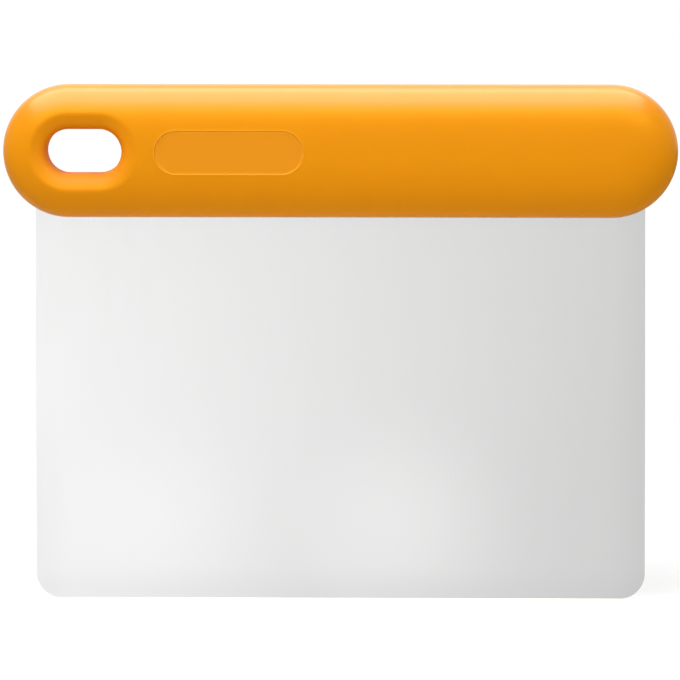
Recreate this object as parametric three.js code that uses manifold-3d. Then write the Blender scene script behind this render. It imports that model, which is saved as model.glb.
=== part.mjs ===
// Dough scraper: a stamped stainless blade with a polypropylene handle moulded onto its tang.
// Millimetres, +Z up. X runs along the handle and -Y is the front.
// The origin is the middle of the scraping edge.
import * as THREE from "three";
import { mergeVertices } from "three/addons/utils/BufferGeometryUtils.js";
import Module from "manifold-3d";

const wasm = await Module();
wasm.setup();

// Blade
const BLADE_WIDTH = 150;
const BLADE_EXPOSED = 94; // scraping edge to the underside of the handle
const BLADE_THICKNESS = 1;
const BLADE_CORNER = 6.3; // radius of the two lower corners
const DEBURR = 0.2; // rounding all along the sheet's edges

// Tang, the part of the sheet inside the handle
const SLOT_COVER = 4; // plastic left between the blade's shoulder and the hang slot
const TOP_COVER = 9; // plastic left above the tang
const END_COVER = 16.5; // plastic left beside the tang at the end without the slot
const TANG_TO_SLOT = 8; // plastic left between the hang slot and the tang
const TANG_CORNER = 3;
const HOLE_RADIUS = 4.5; // punched holes that the plastic runs through
const HOLE_PITCH = 22;
const HOLE_MARGIN = 5; // steel left beside the first and the last hole

// Handle
const HANDLE_OVERHANG = 8.05; // how far each end of the handle stands out past the blade
const HANDLE_HEIGHT = 32.8;
const HANDLE_THICKNESS = 19;
const SECTION_POWER = 2.5; // 2 is an ellipse, and more is squarer
const FACE_FLAT = 1.1; // half the width of the flat strip along the middle of each face
const MOULD_GAP = 0.3; // clearance between the moulding and the sheet inside it

// Hang slot, round the same centre as the end of the handle
const SLOT_LENGTH = 18.5; // at the waist, half way through the handle
const SLOT_WIDTH = 11;
const SLOT_RIM = 3.9; // how far the mouth's rim lies outside the waist
const DISH_SLOPE = 0.36; // rise over run of the mouth at its rim
const DISH_POWER = 4.5; // how suddenly the mouth turns into the slot's wall

// Shallow recess in the front face
const PANEL_LENGTH = 36.4;
const PANEL_HEIGHT = 10.4;
const PANEL_STEP = 0.25; // depth along its upper and lower edges, where the face has curved away
const PANEL_DRAFT = 0.3; // how much wider the recess is at the face than at its floor, each side
const PANEL_TO_SLOT = 8.4;

// Fineness of the facets
const ARC_STEPS = 10; // quarter of a round end of the handle
const SECTION_STEPS = 11; // from the rim of the handle to its face
const WALL_STEPS = 8; // from the waist of the slot to the rim of its mouth
const SHEET_STEPS = 6; // half of a rounded corner of the sheet
const DEBURR_STEPS = 2;

// How far a cutter goes on past the surface that it cuts
const CUT_PAST = 1;

// Places that follow from the sizes
const handleEnd = BLADE_WIDTH / 2 + HANDLE_OVERHANG;
const handleHalf = HANDLE_HEIGHT / 2;
const faceHalf = HANDLE_THICKNESS / 2;
const handleCentre = BLADE_EXPOSED + handleHalf;
const spineEnd = handleEnd - handleHalf; // centre of each round end
const slotHalf = SLOT_WIDTH / 2;
const slotStart = -spineEnd;
const slotEnd = slotStart + SLOT_LENGTH - SLOT_WIDTH;
const slotTip = slotEnd + slotHalf;

const shoulderTop = handleCentre - slotHalf - SLOT_COVER;
const tangTop = BLADE_EXPOSED + HANDLE_HEIGHT - TOP_COVER;
const tangLeft = slotTip + TANG_TO_SLOT;
const tangRight = handleEnd - END_COVER;

/** Outline of right-angled corners, listed anticlockwise and each rounded by its own radius. */
function roundedOutline(corners) {
  const outline = new THREE.Shape();
  corners.forEach(({ at, radius }, i) => {
    const before = corners.at(i - 1).at;
    const after = corners[(i + 1) % corners.length].at;
    const start = before.clone().sub(at).setLength(radius);
    const end = after.clone().sub(at).setLength(radius);
    const centre = at.clone().add(start).add(end);
    const hollow = start.cross(end) > 0;
    outline.absarc(centre.x, centre.y, radius, end.negate().angle(), start.negate().angle(), hollow);
  });
  return outline;
}

/** The sheet's outline with its holes, grown by the given amount on every side. */
function sheetOutline(grow) {
  const side = BLADE_WIDTH / 2 + grow;
  const corner = (x, y, radius) => ({ at: new THREE.Vector2(x, y), radius });
  const outline = roundedOutline([
    corner(-side, -grow, BLADE_CORNER + grow),
    corner(side, -grow, BLADE_CORNER + grow),
    corner(side, shoulderTop + grow, TANG_CORNER + grow),
    corner(tangRight + grow, shoulderTop + grow, TANG_CORNER - grow),
    corner(tangRight + grow, tangTop + grow, TANG_CORNER + grow),
    corner(tangLeft - grow, tangTop + grow, TANG_CORNER + grow),
    corner(tangLeft - grow, shoulderTop + grow, TANG_CORNER - grow),
    corner(-side, shoulderTop + grow, TANG_CORNER + grow),
  ]);
  const room = tangRight - tangLeft - 2 * (HOLE_MARGIN + HOLE_RADIUS);
  const gaps = Math.floor(room / HOLE_PITCH);
  const firstHole = (tangLeft + tangRight - gaps * HOLE_PITCH) / 2;
  for (let i = 0; i <= gaps; i += 1) {
    const hole = new THREE.Path();
    const x = firstHole + i * HOLE_PITCH;
    hole.absarc(x, (shoulderTop + tangTop) / 2, HOLE_RADIUS - grow, 0, 2 * Math.PI, true);
    outline.holes.push(hole);
  }
  return outline;
}

/** The sheet as a solid, upright in the XZ plane and centred on its thickness. */
function sheet(grow, thickness, rounding) {
  const depth = thickness - 2 * rounding;
  const geometry = new THREE.ExtrudeGeometry(sheetOutline(grow), {
    depth,
    curveSegments: SHEET_STEPS,
    bevelEnabled: rounding > 0,
    bevelThickness: rounding,
    bevelSize: rounding,
    bevelOffset: -rounding,
    bevelSegments: DEBURR_STEPS,
  });
  return geometry.translate(0, 0, -depth / 2).rotateX(Math.PI / 2);
}

/** Points round an oblong with half-round ends, clockwise as seen from the front. */
function oblong(left, right, radius) {
  const path = new THREE.Path();
  path.absarc(left, 0, radius, 1.5 * Math.PI, 0.5 * Math.PI, true);
  path.absarc(right, 0, radius, 0.5 * Math.PI, -0.5 * Math.PI, true);
  return path.getPoints(ARC_STEPS);
}

/** A ring of that oblong, with its place through the thickness set by a function of the point. */
function ring(left, right, radius, levelAt) {
  return oblong(left, right, radius).map((p) => new THREE.Vector3(p.x, levelAt(p), p.y));
}

/** A closed skin over a stack of rings, from back to front of the stack, with a fan at each end. */
function loft(rings) {
  const count = rings[0].length;
  const points = rings.flat();
  const centreOf = (loop) => new THREE.Box3().setFromPoints(loop).getCenter(new THREE.Vector3());
  const lastRing = points.length - count;
  const firstCentre = points.push(centreOf(rings[0])) - 1;
  const lastCentre = points.push(centreOf(rings.at(-1))) - 1;
  const triangles = [];
  for (let i = 0; i < count; i += 1) {
    const next = (i + 1) % count;
    for (let base = 0; base < lastRing; base += count) {
      triangles.push(base + i, base + next, base + count + i);
      triangles.push(base + next, base + count + next, base + count + i);
    }
    triangles.push(firstCentre, next, i);
    triangles.push(lastCentre, lastRing + i, lastRing + next);
  }
  return new THREE.BufferGeometry().setFromPoints(points).setIndex(triangles);
}

/** Half the handle's thickness at a point of its outline, from the rounded section. */
function faceAt(point) {
  const past = Math.max(Math.abs(point.x) - spineEnd, 0);
  const offSpine = Math.min(Math.hypot(past, point.y) / handleHalf, 1);
  return faceHalf * (1 - offSpine ** SECTION_POWER) ** (1 / SECTION_POWER);
}

/** The plain body: one rounded section carried along the spine and round both ends. */
function handleBody() {
  const rings = [];
  const lastAngle = Math.acos((FACE_FLAT / handleHalf) ** (SECTION_POWER / 2));
  for (let i = -SECTION_STEPS; i <= SECTION_STEPS; i += 1) {
    const angle = (lastAngle * i) / SECTION_STEPS;
    const level = Math.sign(i) * faceHalf * Math.abs(Math.sin(angle)) ** (2 / SECTION_POWER);
    const radius = handleHalf * Math.cos(angle) ** (2 / SECTION_POWER);
    rings.push(ring(-spineEnd, spineEnd, radius, () => level));
  }
  return loft(rings);
}

/** Half the handle's thickness at the rim of the slot's mouth, straight outside a point of its wall. */
function rimAt(point) {
  const middle = new THREE.Vector2(THREE.MathUtils.clamp(point.x, slotStart, slotEnd), 0);
  return faceAt(point.clone().sub(middle).setLength(slotHalf + SLOT_RIM).add(middle));
}

/** The slot's cutter: narrowest half way through, with round walls that open to a dish on both faces. */
function slotCutter() {
  const rings = [];
  const addRing = (inside, rise) => {
    const radius = slotHalf + SLOT_RIM - inside;
    rings.push(ring(slotStart, slotEnd, radius, (p) => rise * (rimAt(p) - DISH_SLOPE * inside)));
  };
  const past = ring(slotStart, slotEnd, slotHalf + SLOT_RIM + CUT_PAST, () => HANDLE_THICKNESS);
  rings.push(past.map((p) => new THREE.Vector3(p.x, -p.y, p.z)));
  addRing(-CUT_PAST, -1);
  for (let i = -WALL_STEPS; i <= WALL_STEPS; i += 1) {
    const angle = (Math.PI / 2) * (1 - Math.abs(i) / WALL_STEPS);
    const inside = SLOT_RIM * Math.sin(angle) ** (2 / DISH_POWER);
    addRing(inside, Math.sign(i) * Math.cos(angle) ** (2 / DISH_POWER));
  }
  addRing(-CUT_PAST, 1);
  rings.push(past);
  return loft(rings);
}

/** The recess's cutter: a flat floor and slightly sloping walls. */
function panelCutter() {
  const left = slotTip + PANEL_TO_SLOT + PANEL_HEIGHT / 2;
  const right = left + PANEL_LENGTH - PANEL_HEIGHT;
  const floorRadius = PANEL_HEIGHT / 2 - PANEL_DRAFT;
  const floor = faceAt(new THREE.Vector2(left, PANEL_HEIGHT / 2)) - PANEL_STEP;
  const mouth = faceHalf + CUT_PAST;
  const mouthRadius = floorRadius + (PANEL_DRAFT * (mouth - floor)) / (faceHalf - floor);
  return loft([
    ring(left, right, mouthRadius, () => -mouth),
    ring(left, right, floorRadius, () => -floor),
  ]);
}

/** A closed geometry as a solid that can be cut. */
function solidOf(geometry) {
  const bare = geometry.clone();
  bare.deleteAttribute("normal");
  bare.deleteAttribute("uv");
  const merged = mergeVertices(bare);
  const vertProperties = new Float32Array(merged.attributes.position.array);
  const triVerts = new Uint32Array(merged.index.array);
  return new wasm.Manifold(new wasm.Mesh({ numProp: 3, vertProperties, triVerts }));
}

/** A cut solid back as a geometry. */
function geometryOf(solid) {
  const mesh = solid.getMesh();
  const geometry = new THREE.BufferGeometry();
  geometry.setAttribute("position", new THREE.BufferAttribute(mesh.vertProperties, mesh.numProp));
  geometry.setIndex(new THREE.BufferAttribute(mesh.triVerts, 1));
  return geometry;
}

function makeBlade() {
  const steel = new THREE.MeshStandardMaterial({ color: 0xd6d7d8, roughness: 0.38, metalness: 1 });
  const blade = new THREE.Mesh(sheet(0, BLADE_THICKNESS, DEBURR), steel);
  blade.name = "blade";
  return blade;
}

function makeHandle() {
  const room = sheet(MOULD_GAP, BLADE_THICKNESS + 2 * MOULD_GAP, 0).translate(0, 0, -handleCentre);
  const moulding = solidOf(handleBody())
    .subtract(solidOf(slotCutter()))
    .subtract(solidOf(panelCutter()))
    .subtract(solidOf(room));
  const plastic = new THREE.MeshStandardMaterial({ color: 0xec960b, roughness: 0.45, metalness: 0 });
  const handle = new THREE.Mesh(geometryOf(moulding), plastic);
  handle.name = "handle";
  handle.position.z = handleCentre;
  return handle;
}

const scraper = new THREE.Group();
scraper.add(makeBlade(), makeHandle());

export default scraper;
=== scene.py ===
import math

import bmesh
import bpy
from mathutils import Matrix, Vector


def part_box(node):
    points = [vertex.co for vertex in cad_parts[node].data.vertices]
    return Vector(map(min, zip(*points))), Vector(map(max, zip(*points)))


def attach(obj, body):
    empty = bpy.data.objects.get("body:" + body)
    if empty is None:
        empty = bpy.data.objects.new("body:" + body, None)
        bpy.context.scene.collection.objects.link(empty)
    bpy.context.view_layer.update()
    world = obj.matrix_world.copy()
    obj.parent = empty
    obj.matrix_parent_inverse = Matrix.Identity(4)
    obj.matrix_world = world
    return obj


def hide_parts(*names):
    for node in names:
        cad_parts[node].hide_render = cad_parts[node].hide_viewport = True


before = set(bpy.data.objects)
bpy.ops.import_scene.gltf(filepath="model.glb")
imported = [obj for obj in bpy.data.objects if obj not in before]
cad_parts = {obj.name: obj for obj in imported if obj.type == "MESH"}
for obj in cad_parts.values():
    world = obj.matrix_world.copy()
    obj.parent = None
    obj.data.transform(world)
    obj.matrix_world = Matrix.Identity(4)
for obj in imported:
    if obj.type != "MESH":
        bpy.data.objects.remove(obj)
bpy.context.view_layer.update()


# Blade: one stamped sheet of stainless steel with a satin finish and deburred edges.
# Its upper part is a tang inside the handle, with punched holes that the plastic runs through,
# and it narrows there to leave room for the hang slot.
MM = 0.001
blade_low, blade_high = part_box("blade")
BLADE_CORNER = 6.3 * MM
DEBURR = 0.25 * MM
SHOULDER_TOP = 100.9 * MM
TANG_LEFT = -45.65 * MM
TANG_RIGHT = 66.55 * MM
TANG_CORNER = 3 * MM
HOLE_RADIUS = 4.5 * MM
HOLE_PITCH = 22 * MM
HOLE_COUNT = 5
CORNER_STEPS = 16
HOLE_STEPS = 40
DEBURR_STEPS = 3
SHARP = math.radians(60)


def verts_of(geometry):
    return [g for g in geometry if isinstance(g, bmesh.types.BMVert)]


def edges_of(geometry):
    return [g for g in geometry if isinstance(g, bmesh.types.BMEdge)]


def soften(bm, edges, width, steps):
    """Rounds edges off and returns what that made."""
    return bmesh.ops.bevel(
        bm, geom=edges, offset=width, offset_type="OFFSET", segments=steps,
        profile=0.5, affect="EDGES", material=-1, clamp_overlap=True,
    )


def finish_piece(name, bm):
    """Turns a bmesh into an object at the origin."""
    mesh = bpy.data.meshes.new(name)
    bm.to_mesh(mesh)
    bm.free()
    piece = bpy.data.objects.new(name, mesh)
    bpy.context.scene.collection.objects.link(piece)
    return piece


def stamp_sheet(grow):
    """The upright sheet with its round corners and punched holes, grown by a margin all round."""
    bm = bmesh.new()
    low, high = blade_low, blade_high
    corners = (
        (low.x - grow, low.z - grow, BLADE_CORNER + grow),
        (high.x + grow, low.z - grow, BLADE_CORNER + grow),
        (high.x + grow, SHOULDER_TOP + grow, TANG_CORNER + grow),
        (TANG_RIGHT + grow, SHOULDER_TOP + grow, TANG_CORNER - grow),
        (TANG_RIGHT + grow, high.z + grow, TANG_CORNER + grow),
        (TANG_LEFT - grow, high.z + grow, TANG_CORNER + grow),
        (TANG_LEFT - grow, SHOULDER_TOP + grow, TANG_CORNER - grow),
        (low.x - grow, SHOULDER_TOP + grow, TANG_CORNER + grow),
    )
    front = low.y - grow
    verts = [bm.verts.new((x, front, z)) for x, z, _ in corners]
    bm.faces.new(verts)
    for vert, (_, _, radius) in zip(verts, corners):
        bmesh.ops.bevel(
            bm, geom=[vert], offset=radius, offset_type="OFFSET", segments=CORNER_STEPS,
            profile=0.5, affect="VERTICES", material=-1,
        )
    bmesh.ops.delete(bm, geom=bm.faces[:], context="FACES_ONLY")
    middle = Vector(((TANG_LEFT + TANG_RIGHT) / 2, front, (SHOULDER_TOP + high.z) / 2))
    upright = Matrix.Rotation(math.pi / 2, 4, "X")
    for i in range(HOLE_COUNT):
        along = Vector(((i - (HOLE_COUNT - 1) / 2) * HOLE_PITCH, 0, 0))
        bmesh.ops.create_circle(
            bm, segments=HOLE_STEPS, radius=HOLE_RADIUS - grow,
            matrix=Matrix.Translation(middle + along) @ upright,
        )
    bmesh.ops.triangle_fill(bm, use_beauty=True, edges=bm.edges[:], normal=(0, -1, 0))
    pulled = bmesh.ops.extrude_face_region(bm, geom=bm.faces[:])["geom"]
    thickness = high.y - low.y + 2 * grow
    bmesh.ops.translate(bm, verts=verts_of(pulled), vec=(0, thickness, 0))
    bmesh.ops.recalc_face_normals(bm, faces=bm.faces[:])
    return bm


bm = stamp_sheet(0)
outline = [e for e in bm.edges if e.calc_face_angle(0) > SHARP]
for face in soften(bm, outline, DEBURR, DEBURR_STEPS)["faces"]:
    face.smooth = True
blade = finish_piece("blade_sheet", bm)


class Wire:
    """One value in a material's node tree. Python's operators on it add Math nodes."""

    def __init__(self, tree, socket=None):
        self.tree = tree
        self.socket = socket

    def add(self, kind, settings=None, sockets=None, out=0):
        """A new node: its settings first, then the values or links of its sockets."""
        node = self.tree.nodes.new(kind)
        for name, value in (settings or {}).items():
            setattr(node, name, value)
        for name, value in (sockets or {}).items():
            if isinstance(value, Wire):
                self.tree.links.new(value.socket, node.inputs[name])
            else:
                node.inputs[name].default_value = value
        return Wire(self.tree, node.outputs[out])

    def math(self, operation, a, b=0.0):
        return self.add("ShaderNodeMath", {"operation": operation}, {0: a, 1: b})

    def __add__(self, other):
        return self.math("ADD", self, other)

    def __sub__(self, other):
        return self.math("SUBTRACT", self, other)

    def __rsub__(self, other):
        return self.math("SUBTRACT", other, self)

    def __mul__(self, other):
        return self.math("MULTIPLY", self, other)

    __radd__ = __add__
    __rmul__ = __mul__

    def place(self):
        return self.add("ShaderNodeTexCoord", out="Object")

    def axes(self, place, names):
        """A place's values along some of its axes."""
        return [self.add("ShaderNodeSeparateXYZ", None, {0: place}, out=name) for name in names]

    def distance(self, a, b):
        """How far it is to go a one way and b at right angles to it."""
        return self.math("SQRT", a * a + b * b)

    def stretch(self, place, factors):
        return self.add("ShaderNodeVectorMath", {"operation": "MULTIPLY"}, {0: place, 1: factors})

    def noise(self, place, scale, detail=2.0, roughness=0.5):
        """Smooth noise at a place, from 0 to 1 and about 0.5 on average."""
        settings = {"noise_dimensions": "3D"}
        sockets = {"Vector": place, "Scale": scale, "Detail": detail, "Roughness": roughness}
        return self.add("ShaderNodeTexNoise", settings, sockets)

    def ramp(self, value, start, end):
        """A share that goes smoothly from 0 at one value to 1 at another."""
        settings = {"interpolation_type": "SMOOTHSTEP"}
        sockets = {"Value": value, "From Min": start, "From Max": end}
        return self.add("ShaderNodeMapRange", settings, sockets)

    def blend(self, share, first, second):
        """A colour between two others. The Mix node's colour sockets go by number."""
        sockets = {0: share, 6: first, 7: second}
        return self.add("ShaderNodeMix", {"data_type": "RGBA"}, sockets, out=2)

    def bump(self, height, strength, depth):
        """A surface normal that follows a height."""
        sockets = {"Strength": strength, "Distance": depth, "Height": height}
        return self.add("ShaderNodeBump", None, sockets)


def new_material(name, **constants):
    """A Principled material, with the values that are the same all over set on its own sockets."""
    material = bpy.data.materials.new(name)
    material.use_nodes = True
    shader = material.node_tree.nodes["Principled BSDF"]
    for socket, value in constants.items():
        shader.inputs[socket.replace("_", " ")].default_value = value
    return material, shader, Wire(material.node_tree)


def feed(shader, **values):
    """Links what varies over a surface to the shader's sockets."""
    for socket, wire in values.items():
        wire.tree.links.new(wire.socket, shader.inputs[socket.replace("_", " ")])


# The steel has a fine upright grain and soft clouds. Its lower and right edges and the low end of
# its left one are darker, as painted shade, and two patches low on it are paler, as painted
# reflections, placed after the photograph.
STEEL_LIGHT = (0.695, 0.695, 0.70, 1)
STEEL_DARK = (0.645, 0.645, 0.65, 1)
# Painted reflection: the colour of the two paler patches.
STEEL_PAINTED_REFLECTION = (0.745, 0.745, 0.75, 1)
# Painted shade: the colour towards the edges.
STEEL_PAINTED_SHADE = (0.615, 0.615, 0.62, 1)
GRAIN_ACROSS = 1500
GRAIN_ALONG = 60
GRAIN_DETAIL = 4.0
GRAIN_ROUGHNESS = 0.6
GRAIN_SHARE = 0.75
GRAIN_BUMP = 0.1
GRAIN_DEPTH = 0.04 * MM
CLOUD_SCALE = 22.0
SATIN_ROUGHNESS = 0.2
SATIN_SPREAD = 0.1
EDGE_ZONE = 9 * MM
EDGE_SHADE_SHARE = 0.5
SHADE_FROM = 55 * MM
SHADE_TO = 20 * MM
REFLECTION_REACH = 34 * MM
PAINTED_REFLECTIONS = ((16 * MM, 18 * MM, 0.9), (-43 * MM, 17 * MM, 0.5))
steel, shader, wire = new_material("satin_steel", Metallic=1.0, Anisotropic=0.75)
place = wire.place()
x, z = wire.axes(place, "XZ")


def painted_reflection_patch(x_middle, z_middle):
    """A soft round patch of painted reflection on the sheet, from 1 in its middle to 0."""
    return wire.ramp(wire.distance(x - x_middle, z - z_middle), REFLECTION_REACH, 0)


stretched = wire.stretch(place, (GRAIN_ACROSS, GRAIN_ACROSS, GRAIN_ALONG))
grain = wire.noise(stretched, 1.0, GRAIN_DETAIL, GRAIN_ROUGHNESS)
cloud = wire.noise(place, CLOUD_SCALE)
# Painted reflection: two paler patches low on the sheet.
painted_reflection = sum(strength * painted_reflection_patch(x_middle, z_middle) for x_middle, z_middle, strength in PAINTED_REFLECTIONS)
# Painted shade: darker towards the lower and right edges and the low end of the left one.
left = wire.ramp(x, blade_low.x + EDGE_ZONE, blade_low.x) * wire.ramp(z, SHADE_FROM, SHADE_TO)
right = wire.ramp(x, blade_high.x - EDGE_ZONE, blade_high.x)
edges = EDGE_SHADE_SHARE * (left + right + wire.ramp(z, EDGE_ZONE, 0))
plain = wire.blend(GRAIN_SHARE * grain + (1 - GRAIN_SHARE) * cloud, STEEL_DARK, STEEL_LIGHT)
feed(
    shader,
    Base_Color=wire.blend(edges, wire.blend(painted_reflection, plain, STEEL_PAINTED_REFLECTION), STEEL_PAINTED_SHADE),
    Roughness=SATIN_ROUGHNESS + SATIN_SPREAD * grain,
    Normal=wire.bump(grain, GRAIN_BUMP, GRAIN_DEPTH),
)
blade.data.materials.append(steel)
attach(blade, "root")
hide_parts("blade")


# Handle: polypropylene, injection moulded round the tang in a mould of two halves, so a fine
# parting line runs round its rim. One rounded section goes along it and round both ends.
handle_low, handle_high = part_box("handle")
HANDLE_HEIGHT = 32.8 * MM
SECTION_POWER = 2.5
PARTING_PROUD = 0.04 * MM
PARTING_WIDTH = 0.12 * MM
BEAD_HEIGHT = 0.04 * MM
half_height = HANDLE_HEIGHT / 2 - PARTING_PROUD
half_thick = (handle_high.y - handle_low.y) / 2 - BEAD_HEIGHT
spine_z = handle_high.z - HANDLE_HEIGHT / 2
spine_start = handle_low.x + HANDLE_HEIGHT / 2
spine_end = handle_high.x - HANDLE_HEIGHT / 2

# The hang slot is round the same centre as the handle's end, and its walls open in a round to a
# rim on both faces.
SLOT_LENGTH = 18.5 * MM
SLOT_WIDTH = 11 * MM
SLOT_RIM = 3.9 * MM
DISH_SLOPE = 0.34
DISH_POWER = 6
RIM_ROUND = 0.5 * MM
RIM_MARGIN = 0.9 * MM
slot_half = SLOT_WIDTH / 2
slot_end = spine_start + SLOT_LENGTH - SLOT_WIDTH

# The front has a shallow oblong recess with a flat floor, and a fine bead round it where the
# mould's insert met the mould. The plain faces are cut away round it to fit it in.
PANEL_LENGTH = 36.4 * MM
PANEL_HEIGHT = 10.4 * MM
PANEL_STEP = 0.16 * MM
PANEL_DRAFT = 0.7 * MM
PANEL_TO_SLOT = 8.4 * MM
PANEL_CLEAR = 0.8 * MM
PANEL_CUT = 1.6 * MM
PANEL_SEARCH = 4 * MM
BEAD_WIDTH = 0.5 * MM
panel_half = PANEL_HEIGHT / 2
panel_start = slot_end + slot_half + PANEL_TO_SLOT + panel_half
panel_end = panel_start + PANEL_LENGTH - PANEL_HEIGHT

ARC_STEPS = 48
SECTION_STEPS = 20
WALL_STEPS = 10
SHORT_STEPS = 3
PANEL_STEPS = 64
BEAD_STEPS = 4
PLAIN_STEPS = 18
END_STEPS = 16
END_REACH = 14 * MM
RIM_STEPS = 4
PARTING_STEPS = 2
CREASE = math.radians(40)
WELD = 0.001 * MM


def off_line(point, start, end):
    """Distance in the XZ plane from a point to a line along the middle of the handle."""
    past = max(start - point.x, point.x - end, 0)
    return math.hypot(past, point.z - spine_z)


def section_level(point):
    """Half the handle's thickness at a point of its outline."""
    off = off_line(point, spine_start, spine_end)
    if off > half_height - WELD:
        return 0
    return half_thick * (1 - (off / half_height) ** SECTION_POWER) ** (1 / SECTION_POWER)


def face_level(point):
    """The same with the round walls of the hang slot."""
    outside = off_line(point, spine_start, slot_end) - slot_half
    if outside < WELD:
        return 0
    if outside > SLOT_RIM:
        return section_level(point)
    middle = Vector((min(max(point.x, spine_start), slot_end), 0, spine_z))
    away = Vector((point.x, 0, point.z)) - middle
    rim = middle + away.normalized() * (slot_half + SLOT_RIM)
    inside = SLOT_RIM - outside
    round_off = (1 - (inside / SLOT_RIM) ** DISH_POWER) ** (1 / DISH_POWER)
    return (section_level(rim) - DISH_SLOPE * inside) * round_off


def panel_level(point):
    """The same with the recess and its bead."""
    outside = off_line(point, panel_start, panel_end) - panel_half
    if outside < 0:
        return section_level(Vector((panel_start, 0, spine_z + panel_half))) - PANEL_STEP
    crown = math.sin(math.pi * min(outside / BEAD_WIDTH, 1))
    return section_level(point) + BEAD_HEIGHT * crown


def even_steps(length, count):
    return [length / count] * count


def pull(bm, edges, steps):
    """Extrudes a chain of edges along X, step after step, and returns the last chain."""
    for step in steps:
        made = bmesh.ops.extrude_edge_only(bm, edges=edges)["geom"]
        bmesh.ops.translate(bm, verts=verts_of(made), vec=(step, 0, 0))
        moved = set(verts_of(made))
        edges = [e for e in edges_of(made) if moved.issuperset(e.verts)]
    return edges


def swing(bm, edges, centre_x):
    """Spins a chain of edges half round a centre on the handle's middle line."""
    ends = dict.fromkeys(v for e in edges for v in e.verts)
    last = bmesh.ops.spin(
        bm, geom=edges + list(ends), cent=(centre_x, 0, spine_z), axis=(0, 1, 0),
        angle=-math.pi, steps=ARC_STEPS, use_merge=False,
    )["geom_last"]
    return edges_of(last)


def lay_oblong(bm, start, end, radii, steps):
    """Flat rings round a line: a radial chain swung round each end and pulled along each side."""
    verts = [bm.verts.new((start, 0, spine_z + radius)) for radius in radii]
    chain = [bm.edges.new(pair) for pair in zip(verts, verts[1:])]
    chain = pull(bm, swing(bm, chain, start), steps)
    pull(bm, swing(bm, chain, end), [-step for step in reversed(steps)])


def on_ring(edge, start, end, radius):
    """Whether an edge lies on the ring of a given radius round a line."""
    return all(abs(off_line(v.co, start, end) - radius) < WELD for v in edge.verts)


def open_ring(bm, start, end, radius):
    """The edges on such a ring that have a face on one side only."""
    return [e for e in bm.edges if e.is_boundary and on_ring(e, start, end, radius)]


# The front half is laid flat, as rings along the rim and rings round the slot.
bm = bmesh.new()
ring_radius = slot_half + SLOT_RIM + RIM_MARGIN
last_angle = math.acos((ring_radius / half_height) ** (SECTION_POWER / 2))
section_angles = [last_angle * i / SECTION_STEPS for i in range(SECTION_STEPS + 1)]
rim_radii = [half_height * math.cos(a) ** (2 / SECTION_POWER) for a in section_angles]
short_steps = even_steps(slot_end - spine_start, SHORT_STEPS)
panel_reach = panel_end + panel_half + PANEL_CUT - slot_end
plain_reach = spine_end - END_REACH - slot_end - panel_reach
long_steps = even_steps(panel_reach, PANEL_STEPS)
long_steps += even_steps(plain_reach, PLAIN_STEPS)
long_steps += even_steps(END_REACH, END_STEPS)
lay_oblong(bm, spine_start, spine_end, rim_radii, short_steps + long_steps)

wall_angles = [math.pi / 2 * i / WALL_STEPS for i in range(WALL_STEPS + 1)]
wall_depths = [SLOT_RIM * math.sin(a) ** (2 / DISH_POWER) for a in wall_angles]
slot_radii = [ring_radius] + [slot_half + SLOT_RIM - depth for depth in wall_depths]
lay_oblong(bm, spine_start, slot_end, slot_radii, short_steps)
bmesh.ops.remove_doubles(bm, verts=bm.verts[:], dist=WELD)
half_round = [
    e for e in open_ring(bm, slot_end, slot_end, ring_radius)
    if all(v.co.x > slot_end - WELD for v in e.verts)
]
pull(bm, half_round, long_steps)
bmesh.ops.remove_doubles(bm, verts=bm.verts[:], dist=WELD)

# It is raised to its section, and a mirrored copy is the back half.
for vert in bm.verts:
    vert.co.y = -face_level(vert.co)
front_faces = bm.faces[:]
back_half = bmesh.ops.duplicate(bm, geom=bm.verts[:] + bm.edges[:] + front_faces)["geom"]
bmesh.ops.scale(bm, verts=verts_of(back_half), vec=(1, -1, 1))

# The recess takes the place of the plain faces in front.
under_panel = [
    f for f in front_faces
    if off_line(f.calc_center_median(), panel_start, panel_end) < panel_half + PANEL_CUT
]
bmesh.ops.delete(bm, geom=under_panel, context="FACES")
hole_rim = [
    e for e in bm.edges
    if e.is_boundary
    and off_line(e.verts[0].co, panel_start, panel_end) < panel_half + PANEL_SEARCH
    and e.verts[0].co.y < 0
]
bead = [BEAD_WIDTH * i / BEAD_STEPS for i in range(BEAD_STEPS, -1, -1)]
panel_radii = [panel_half + extra for extra in [PANEL_CLEAR] + bead + [-PANEL_DRAFT]]
old_verts = set(bm.verts)
lay_oblong(bm, panel_start, panel_end, panel_radii, even_steps(panel_end - panel_start, PANEL_STEPS))
panel_verts = [v for v in bm.verts if v not in old_verts]
bmesh.ops.remove_doubles(bm, verts=panel_verts, dist=WELD)
for vert in bm.verts:
    if vert not in old_verts:
        vert.co.y = -panel_level(vert.co)
outer_rim = open_ring(bm, panel_start, panel_end, panel_radii[0])
bmesh.ops.triangle_fill(bm, use_beauty=True, edges=hole_rim + outer_rim, normal=(0, -1, 0))
floor_rim = open_ring(bm, panel_start, panel_end, panel_radii[-1])
bmesh.ops.contextual_create(bm, geom=floor_rim)

# The halves are welded, the slot's rim is rounded and the parting line stands proud.
bmesh.ops.remove_doubles(bm, verts=bm.verts[:], dist=WELD)
bmesh.ops.recalc_face_normals(bm, faces=bm.faces[:])
slot_rim = [e for e in bm.edges if on_ring(e, spine_start, slot_end, slot_half + SLOT_RIM)]
soften(bm, slot_rim, RIM_ROUND, RIM_STEPS)
parting = [e for e in bm.edges if on_ring(e, spine_start, spine_end, half_height)]
for vert in soften(bm, parting, PARTING_WIDTH, PARTING_STEPS)["verts"]:
    if abs(vert.co.y) < WELD:
        nearest = Vector((min(max(vert.co.x, spine_start), spine_end), 0, spine_z))
        vert.co += PARTING_PROUD * (vert.co - nearest).normalized()
for face in bm.faces:
    face.smooth = True
handle = finish_piece("handle_moulding", bm)

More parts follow.
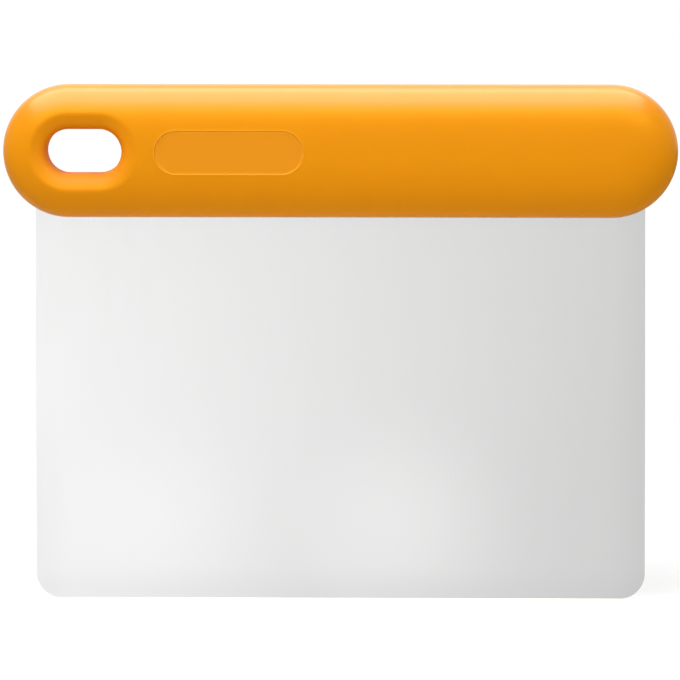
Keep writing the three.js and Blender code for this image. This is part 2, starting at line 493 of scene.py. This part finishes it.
# The sheet, a seam larger all round, leaves its room in the plastic.
SEAM = 0.06 * MM
room = finish_piece("tang_room", stamp_sheet(SEAM))
cut = handle.modifiers.new("tang_room", "BOOLEAN")
cut.operation = "DIFFERENCE"
cut.solver = "EXACT"
cut.object = room
shaped = handle.evaluated_get(bpy.context.evaluated_depsgraph_get())
handle_mesh = bpy.data.meshes.new_from_object(shaped)
handle.modifiers.clear()
handle.data = handle_mesh
handle_mesh.set_sharp_from_angle(angle=CREASE)
bpy.data.objects.remove(room)

# The plastic is finely speckled and a little mottled. It is duller in the slot and the recess.
# Its colour is redder in the slot, a painted shade, and paler on the bead, a painted highlight.
ORANGE = (0.735, 0.258, 0.001, 1)
ORANGE_DEEP = (0.695, 0.242, 0.001, 1)
# Painted shade: a redder orange on the slot's walls.
ORANGE_SLOT_SHADE = (0.735, 0.236, 0.001, 1)
ORANGE_PANEL = (0.715, 0.254, 0.006, 1)
# Painted highlight: a paler orange on the bead.
ORANGE_BEAD_HIGHLIGHT = (0.755, 0.305, 0.014, 1)
SPECKLE_SCALE = 2600.0
SPECKLE_DETAIL = 1.0
SPECKLE_SHARE = 0.5
SPECKLE_BUMP = 0.15
SPECKLE_DEPTH = 0.03 * MM
MOTTLE_SCALE = 70.0
PLASTIC_ROUGHNESS = 0.27
MOTTLE_ROUGHNESS = 0.06
SLOT_ROUGHNESS = 0.4
PANEL_ROUGHNESS = 0.08
plastic, shader, wire = new_material("orange_polypropylene", IOR=1.49, Specular_IOR_Level=0.08)
place = wire.place()
x, y, z = wire.axes(place, "XYZ")


def within(start, end, edge, soft):
    """A share that rises from 0 to 1 inside an oblong round a line along the handle's middle."""
    past = wire.math("MAXIMUM", wire.math("ABSOLUTE", x - (start + end) / 2) - (end - start) / 2)
    return wire.ramp(wire.distance(past, z - spine_z), edge, edge - soft)


speckle = wire.noise(place, SPECKLE_SCALE, SPECKLE_DETAIL)
mottle = wire.noise(place, MOTTLE_SCALE)
in_slot = within(spine_start, slot_end, slot_half + SLOT_RIM, SLOT_RIM)
front = wire.math("LESS_THAN", y)
in_panel = within(panel_start, panel_end, panel_half, PANEL_DRAFT) * front
# The bead's painted highlight.
bead_highlight = within(panel_start, panel_end, panel_half + BEAD_WIDTH, BEAD_WIDTH) * front - in_panel
spots = SPECKLE_SHARE * speckle + (1 - SPECKLE_SHARE) * mottle
# The slot's painted shade.
with_slot_shade = wire.blend(in_slot, wire.blend(spots, ORANGE_DEEP, ORANGE), ORANGE_SLOT_SHADE)
feed(
    shader,
    Base_Color=wire.blend(bead_highlight, wire.blend(in_panel, with_slot_shade, ORANGE_PANEL), ORANGE_BEAD_HIGHLIGHT),
    Roughness=(
        PLASTIC_ROUGHNESS + MOTTLE_ROUGHNESS * mottle
        + SLOT_ROUGHNESS * in_slot + PANEL_ROUGHNESS * in_panel
    ),
    Normal=wire.bump(speckle, SPECKLE_BUMP, SPECKLE_DEPTH),
)
handle.data.materials.clear()
handle.data.materials.append(plastic)
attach(handle, "root")
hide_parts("handle")


# Studio: a plain white floor and surround, and a soft box in front on the left. Panels overhead,
# behind and, in gold, in front show only as reflections. The floor's own reflection is up to
# twice as bright as white, so that the steel comes out as pale as in the photograph.
FLOOR_SIZE = 3.0
FLOOR_WHITE = (0.45, 0.45, 0.45, 1)
bm = bmesh.new()
bmesh.ops.create_grid(bm, x_segments=1, y_segments=1, size=FLOOR_SIZE)
floor = finish_piece("floor", bm)
white, shader, wire = new_material(
    "white_floor", Base_Color=FLOOR_WHITE, Roughness=1.0, Specular_IOR_Level=0.0,
)
x, y = wire.axes(wire.place(), "XY")

# The mirrored floor fades to the right, and is dimmer behind the object, where it is seen
# steeply, and far out on the left.
MIRROR_GLOW = 2.0
GLOW_BRIGHT = (1.0, 1.0, 1.0, 1)
GLOW_DIM = (0.03, 0.03, 0.03, 1)
FADE_LEFT = -0.37
FADE_RIGHT = 0.46
BACK_SHARE = 0.45
BACK_REACH = 0.25
STEEP_SHARE = 0.3
STEEP_FACING = 0.66
GRAZING_FACING = 0.84
BESIDE_SHARE = 0.55
BESIDE_LEAN = 0.35
BESIDE_START = 0.09
BESIDE_END = 0.34
to_right = wire.ramp(x, FADE_LEFT, FADE_RIGHT)
to_back = BACK_SHARE * wire.ramp(y, 0, BACK_REACH)
facing = wire.add("ShaderNodeLayerWeight", out="Facing")
steep = STEEP_SHARE * wire.ramp(facing, GRAZING_FACING, STEEP_FACING)
out_left = 0 - x - BESIDE_LEAN * wire.math("ABSOLUTE", y)
beside = BESIDE_SHARE * wire.ramp(out_left, BESIDE_START, BESIDE_END)
mirror_glow = GLOW_BRIGHT
for fade in (to_right, to_back, steep, beside):
    mirror_glow = wire.blend(fade, mirror_glow, GLOW_DIM)
# Only in mirrored rays the floor glows, up to twice as bright as white: a painted reflection for the
# steel, from a floor that is no lamp.
mirrored_floor = wire.add("ShaderNodeEmission", None, {"Strength": MIRROR_GLOW, "Color": mirror_glow})

# What the camera sees of the floor is lifted to white, and a little less near the object, where
# its shadow lies.
LIFT_NEAR = (0.42, 0.42, 0.42, 1)
LIFT_FAR = (0.57, 0.57, 0.57, 1)
LIFT_START = 0.2
LIFT_END = 1.4
lit = Wire(wire.tree, shader.outputs[0])
away = wire.ramp(wire.distance(x, y), LIFT_START, LIFT_END)
lift = wire.add("ShaderNodeEmission", None, {"Color": wire.blend(away, LIFT_NEAR, LIFT_FAR)})
lifted = wire.add("ShaderNodeAddShader", None, {0: lit, 1: lift})
seen = wire.add("ShaderNodeLightPath", out="Is Camera Ray")
mirrored = wire.add("ShaderNodeLightPath", out="Is Glossy Ray")
through = wire.add("ShaderNodeLightPath", out="Is Transmission Ray")
shown = wire.add("ShaderNodeMixShader", None, {0: seen + through, 1: lit, 2: lifted})
surface = wire.add("ShaderNodeMixShader", None, {0: mirrored, 1: shown, 2: mirrored_floor})
wire.tree.links.new(surface.socket, wire.tree.nodes["Material Output"].inputs["Surface"])
floor.data.materials.append(white)

SURROUND_WHITE = (1, 1, 1, 1)
world = bpy.data.worlds.new("white_surround")
bpy.context.scene.world = world
world.use_nodes = True
background = world.node_tree.nodes["Background"]
background.inputs["Color"].default_value = SURROUND_WHITE
background.inputs["Strength"].default_value = 1.0


def soft_box(name, place, target, width, height, watts, color=(1, 1, 1)):
    """A rectangular lamp at a place, turned to a target."""
    lamp = bpy.data.lights.new(name, "AREA")
    lamp.shape = "RECTANGLE"
    lamp.size = width
    lamp.size_y = height
    lamp.energy = watts
    lamp.color = color
    obj = bpy.data.objects.new(name, lamp)
    obj.location = place
    obj.rotation_euler = (Vector(target) - Vector(place)).to_track_quat("-Z", "Y").to_euler()
    obj.visible_camera = False
    bpy.context.scene.collection.objects.link(obj)
    return obj


GOLD = (0.93, 0.69, 0.02)
handle_centre = (0, 0, spine_z)
soft_box(
    "soft_box_key", place=(-0.22, -0.45, spine_z + 0.8), target=handle_centre,
    width=0.8, height=0.6, watts=6.8,
)
overhead = soft_box(
    "sheen_panel", place=(-0.14, -0.075, spine_z + 0.9), target=(-0.14, -0.075, spine_z),
    width=1.52, height=1.25, watts=119.0,
)
behind = soft_box(
    "rim_panel", place=(-0.14, 1.05, spine_z + 0.8), target=handle_centre,
    width=1.5, height=0.9, watts=5.0,
)
in_front = soft_box(
    "gold_panel", place=(0, -0.77, spine_z + 0.64), target=handle_centre,
    width=1.8, height=0.35, watts=40.0, color=GOLD,
)
for panel in (overhead, behind, in_front):
    panel.visible_diffuse = False


# Camera: a long lens in front, a little above and to the right, as the photograph was taken.
# Its frame is as wide at the object as the photograph's.
CAMERA_DISTANCE = 2.6
FRAME_WIDTH = 167.43 * MM
SENSOR_WIDTH = 36
AIM = Vector((-0.09 * MM, 0, 63.78 * MM))
PITCH = math.radians(4.25)
YAW = math.radians(-2.0)
ROLL = math.radians(-0.037)
forward = Vector((
    math.sin(YAW) * math.cos(PITCH),
    math.cos(YAW) * math.cos(PITCH),
    -math.sin(PITCH),
))
lens = bpy.data.cameras.new("camera")
lens.sensor_width = SENSOR_WIDTH
lens.lens = SENSOR_WIDTH * CAMERA_DISTANCE / FRAME_WIDTH
camera = bpy.data.objects.new("camera", lens)
turn = forward.to_track_quat("-Z", "Y").to_matrix() @ Matrix.Rotation(ROLL, 3, "Z")
camera.matrix_world = Matrix.Translation(AIM - CAMERA_DISTANCE * forward) @ turn.to_4x4()
bpy.context.scene.collection.objects.link(camera)
bpy.context.scene.camera = camera
bpy.context.scene.view_settings.view_transform = "Standard"
